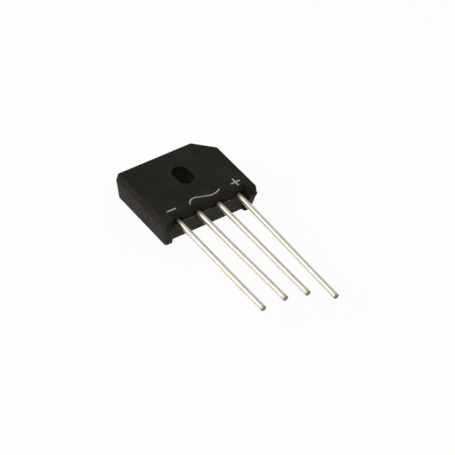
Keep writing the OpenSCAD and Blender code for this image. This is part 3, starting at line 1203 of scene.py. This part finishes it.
@dataclass
class PolaritySign:
    """A printed sign: a film of ink in strokes with rounded ends; sizes in millimetres."""

    sign: Sign
    centre: Pair
    stroke: float
    length: float = 2.2
    wall_y: float = -9.7
    face_z: float = 7.0
    film: float = 0.012
    sunk: float = 0.004
    corner: float = 0.42
    corner_segments: int = 4
    wave: tuple[tuple[Pair, Pair, float, float], ...] = (
        ((-2.2, -0.92), (1.65, 1.5), 169.0, 60.0),
        ((1.9, 1.13), (2.5, 1.7), 233.0, 327.0),
    )
    arc_steps: int = 16

    def build(self, ink: bpy.types.Material) -> bpy.types.Object:
        """Build the sign's outline, round its corners and give it the film's thickness.

        Args:
            ink: Finish of the ink.

        Returns:
            The sign's object.
        """
        shapes = {Sign.NEGATIVE: self._bar, Sign.ALTERNATING: self._wave, Sign.POSITIVE: self._cross}
        mesh = bmesh.new()
        corners = shapes[self.sign](mesh)
        bmesh.ops.bevel(
            mesh,
            geom=corners,
            offset=self.stroke * self.corner,
            offset_type="OFFSET",
            segments=self.corner_segments,
            profile=0.5,
            affect="VERTICES",
            clamp_overlap=True,
            material=-1,
        )
        raised = bmesh.ops.extrude_face_region(mesh, geom=mesh.faces[:])["geom"]
        top = [item for item in raised if isinstance(item, bmesh.types.BMVert)]
        bmesh.ops.translate(mesh, verts=top, vec=(0.0, 0.0, self.film + self.sunk))
        across, along = self.centre
        place = Vector((across, self.wall_y + along, self.face_z - self.sunk))
        bmesh.ops.translate(mesh, verts=mesh.verts, vec=place)
        bmesh.ops.scale(mesh, verts=mesh.verts, vec=(MM,) * 3)
        return finished_piece(self.sign.value, mesh, [ink])

    def _bar(self, mesh: bmesh.types.BMesh) -> list[bmesh.types.BMVert]:
        """Draw one straight stroke.

        Args:
            mesh: Mesh that the stroke is added to, in millimetres.

        Returns:
            The corners to round.
        """
        verts = bmesh.ops.create_grid(mesh, x_segments=1, y_segments=1, size=HALF_CELL)["verts"]
        bmesh.ops.scale(mesh, verts=verts, vec=(self.length, self.stroke, 1.0))
        return verts

    def _cross(self, mesh: bmesh.types.BMesh) -> list[bmesh.types.BMVert]:
        """Draw two strokes that cross, as one outline.

        Args:
            mesh: Mesh that the strokes are added to, in millimetres.

        Returns:
            The corners to round.
        """
        bmesh.ops.create_grid(mesh, x_segments=3, y_segments=3, size=3 * HALF_CELL)
        spare = [face for face in mesh.faces if min(map(abs, face.calc_center_median()[:2])) > HALF_CELL]
        bmesh.ops.delete(mesh, geom=spare, context="FACES")
        for vert in mesh.verts:
            for axis in (0, 1):
                reach = self.length if abs(vert.co[axis]) > 2 * HALF_CELL else self.stroke
                vert.co[axis] = math.copysign(reach / 2, vert.co[axis])
        return [vert for vert in mesh.verts if len(vert.link_faces) == 1]

    def _wave(self, mesh: bmesh.types.BMesh) -> list[bmesh.types.BMVert]:
        """Draw the alternating-current sign: two arcs joined by a slope.

        Args:
            mesh: Mesh that the stroke is added to, in millimetres.

        Returns:
            The corners to round.
        """
        line = [point for arc in self.wave for point in self._arc(*arc)]
        count = len(line) - 1
        bmesh.ops.create_grid(mesh, x_segments=count, y_segments=1, size=1.0)
        for vert in mesh.verts:
            column = round((vert.co.x + 1.0) / 2.0 * count)
            ahead = line[min(column + 1, count)] - line[max(column - 1, 0)]
            across = Vector((-ahead.y, ahead.x, 0.0)).normalized()
            vert.co = line[column] + across * math.copysign(self.stroke / 2, vert.co.y)
        return [vert for vert in mesh.verts if len(vert.link_faces) == 1]

    def _arc(self, centre: Pair, radii: Pair, start: float, end: float) -> list[Vector]:
        """List points along an elliptical arc.

        Args:
            centre: Middle of the ellipse.
            radii: Its half width and half height.
            start: First angle, in degrees.
            end: Last angle, in degrees.

        Returns:
            The points, from start to end.
        """
        points = []
        for turn in range(self.arc_steps + 1):
            angle = math.radians(start + (end - start) * turn / self.arc_steps)
            across = centre[0] + radii[0] * math.cos(angle)
            points.append(Vector((across, centre[1] + radii[1] * math.sin(angle), 0.0)))
        return points


# ---- studio ----


@dataclass(frozen=True)
class Lamp:
    """A soft square lamp that faces the object."""

    name: str
    azimuth_deg: float
    elevation_deg: float
    distance: float
    size: float
    power: float
    colour: Rgb

    def hang(self) -> None:
        """Hang the lamp at its place, turned to the object."""
        away = direction(self.azimuth_deg, self.elevation_deg)
        data = bpy.data.lights.new(self.name, "AREA")
        data.shape = "SQUARE"
        data.size = self.size
        data.energy = self.power
        data.color = self.colour
        made = bpy.data.objects.new(self.name, data)
        bpy.context.scene.collection.objects.link(made)
        made.location = away * self.distance
        made.rotation_mode = "QUATERNION"
        made.rotation_quaternion = away.to_track_quat("Z", "Y")


def direction(azimuth_deg: float, elevation_deg: float) -> Vector:
    """Direction towards a place seen from the object.

    Args:
        azimuth_deg: Angle from -Y, positive towards +X.
        elevation_deg: Angle above the horizon.

    Returns:
        The unit vector.
    """
    azimuth, elevation = math.radians(azimuth_deg), math.radians(elevation_deg)
    level = math.cos(elevation)
    return Vector((math.sin(azimuth) * level, -math.cos(azimuth) * level, math.sin(elevation)))


@dataclass(frozen=True)
class Studio:
    """Floor, lamps, white surroundings and camera."""

    azimuth_deg: float = -37.977
    elevation_deg: float = 42.966
    roll_deg: float = 4.191
    distance: float = 492.65 * MM
    aim: Triple = (-0.04 * MM, -16.41 * MM, 5.05 * MM)
    lens: float = 189.77
    sensor: float = 36.0
    clip: Pair = (0.01, 10.0)
    floor_half: float = 1.5
    floor_grey: Rgba = (0.8, 0.8, 0.8, 1.0)
    floor_glow: float = 0.95
    surround: float = 0.6
    surround_colour: Rgba = (1.0, 0.985, 0.95, 1.0)
    lamps: tuple[Lamp, ...] = (
        Lamp("key_back_left", -133.0, 36.0, 0.9, 0.62, 2.3, (1.0, 0.98, 0.91)),
        Lamp("fill_left", -96.0, 22.0, 0.9, 0.6, 1.2, (1.0, 0.93, 0.82)),
    )

    def camera(self) -> None:
        """Place the scene's camera."""
        away = direction(self.azimuth_deg, self.elevation_deg)
        data = bpy.data.cameras.new("camera")
        data.lens = self.lens
        data.sensor_width = self.sensor
        data.clip_start, data.clip_end = self.clip
        made = bpy.data.objects.new("camera", data)
        bpy.context.scene.collection.objects.link(made)
        level = away.to_track_quat("Z", "Y").to_matrix().to_4x4()
        roll = Matrix.Rotation(math.radians(self.roll_deg), 4, "Z")
        spot = Vector(self.aim) + away * self.distance
        made.matrix_world = Matrix.Translation(spot) @ level @ roll
        bpy.context.scene.camera = made

    @staticmethod
    def seen(sheet: NodeSheet, kinds: Sequence[str]) -> bpy.types.NodeSocket:
        """Tell the rays that show the background from those that light the object.

        Args:
            sheet: Sheet of the floor's or the world's nodes.
            kinds: Names of the Light Path outputs that show the background.

        Returns:
            A value that is 1 for those rays and 0 for the others.
        """
        path = sheet.node("ShaderNodeLightPath")
        value = path.outputs[kinds[0]]
        for kind in kinds[1:]:
            value = sheet.maths("MAXIMUM", value, path.outputs[kind])
        return value

    def floor(self) -> None:
        """Lay the pale floor that the case and its shadow lie on."""
        mesh = bmesh.new()
        bmesh.ops.create_grid(mesh, x_segments=1, y_segments=1, size=self.floor_half)
        material = bpy.data.materials.new("white_ground")
        sheet = empty_sheet(material)
        matte = sheet.node("ShaderNodeBsdfDiffuse", Color=self.floor_grey)
        glow = sheet.node("ShaderNodeEmission", Color=WHITE, Strength=1.0)
        seen = self.seen(sheet, ("Is Camera Ray", "Is Glossy Ray", "Is Transmission Ray"))
        share = sheet.maths("MULTIPLY", seen, self.floor_glow)
        sheet.mixed_output(share, matte, glow, "ShaderNodeOutputMaterial")
        made = finished_piece("white_ground", mesh, [material])

    def world(self) -> None:
        """Make the surroundings: plain light for the object, white where the camera sees them."""
        world = bpy.data.worlds.new("studio")
        sheet = empty_sheet(world)
        light = sheet.node("ShaderNodeBackground", Color=self.surround_colour, Strength=self.surround)
        white = sheet.node("ShaderNodeBackground", Color=WHITE, Strength=1.0)
        seen = self.seen(sheet, ("Is Camera Ray", "Is Transmission Ray"))
        sheet.mixed_output(seen, light, white, "ShaderNodeOutputWorld")
        bpy.context.scene.world = world

    def build(self) -> None:
        """Set the stage and the colour management."""
        self.camera()
        self.floor()
        self.world()
        for lamp in self.lamps:
            lamp.hang()
        bpy.context.scene.view_settings.view_transform = "Standard"


# ---- the whole part ----


@dataclass
class Rectifier:
    """The whole part: its finishes, its new pieces and the CAD nodes that stay."""

    groups: Groups
    pitch: float = 5.08
    lengths: tuple[float, ...] = (29.9, 29.9, 31.1, 34.85)
    leans: tuple[float, ...] = (0.2, 0.85, 0.1, -1.25)
    seeds: tuple[int, ...] = (3, 5, 8, 13)
    signs: tuple[PolaritySign, ...] = (
        PolaritySign(Sign.NEGATIVE, (-8.13, 2.02), 0.36, 2.25),
        PolaritySign(Sign.ALTERNATING, (0.0, 2.07), 0.28),
        PolaritySign(Sign.POSITIVE, (8.06, 2.13), 0.35, 2.35),
    )
    metals: tuple[tuple[str, WorkedMetal], ...] = (
        ("strap", WorkedMetal("copper_strap", (0.72, 0.38, 0.24), (0.62, 0.31, 0.19), 1.0, 0.35)),
        ("die", WorkedMetal("silicon_die", (0.10, 0.12, 0.15), (0.08, 0.095, 0.12), 0.4, 0.15)),
        ("solder", WorkedMetal("solder_layer", (0.55, 0.56, 0.57), (0.46, 0.47, 0.48), 1.0, 0.42)),
    )

    def leads(self) -> list[Lead]:
        """List the leads, from the negative one to the positive one.

        Returns:
            The leads with their sizes.
        """
        middle = (len(self.lengths) - 1) / 2
        return [
            Lead(end, (place - middle) * self.pitch, *sizes)
            for place, (end, *sizes) in enumerate(zip(LeadEnd, self.lengths, self.leans, self.seeds))
        ]

    def dress(self) -> None:
        """Build every piece, give each its finish and say what it rides on."""
        compound = MouldCompound().make(self.groups)
        wire = TinnedWire().make(self.groups)
        cut = CutCopper().make(self.groups)
        ink = PaleInk().make(self.groups)
        resin = PaleResin().make(self.groups)
        self._seat(CaseShell().build(compound), "case")
        self._seat(PartingFins().build(resin))
        for lead in self.leads():
            self._seat(lead.build(wire, cut), lead.node)
        for sign in self.signs:
            self._seat(sign.build(ink))
        self._finish_nodes("case", compound)
        self._finish_nodes("lead", wire)
        for start, metal in self.metals:
            self._finish_nodes(start, metal.make(self.groups))

    def _seat(self, piece: bpy.types.Object, node: str = "") -> None:
        """Put a new piece on the part's one body.

        Args:
            piece: The new piece.
            node: CAD node that the piece stands for, if it stands for one.
        """
        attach(piece, "root")
        if node:
            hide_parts(node)
        LOG.info("built %s with %d faces", piece.name, len(piece.data.polygons))

    def _finish_nodes(self, start: str, material: bpy.types.Material) -> None:
        """Give a material to each CAD node whose name starts in a given way.

        Args:
            start: First letters of the nodes' names.
            material: Material for all their slots.
        """
        for name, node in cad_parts.items():
            if name.startswith(start):
                for place in node.material_slots:
                    place.material = material
                LOG.info("dressed %s", name)


def main() -> None:
    """Build the part's looks and the studio around it."""
    logging.basicConfig(level=logging.INFO)
    Studio().build()
    Rectifier(Groups(MouldedGrain().make(), HandlingMarks().make())).dress()


if __name__ == "__main__":
    main()
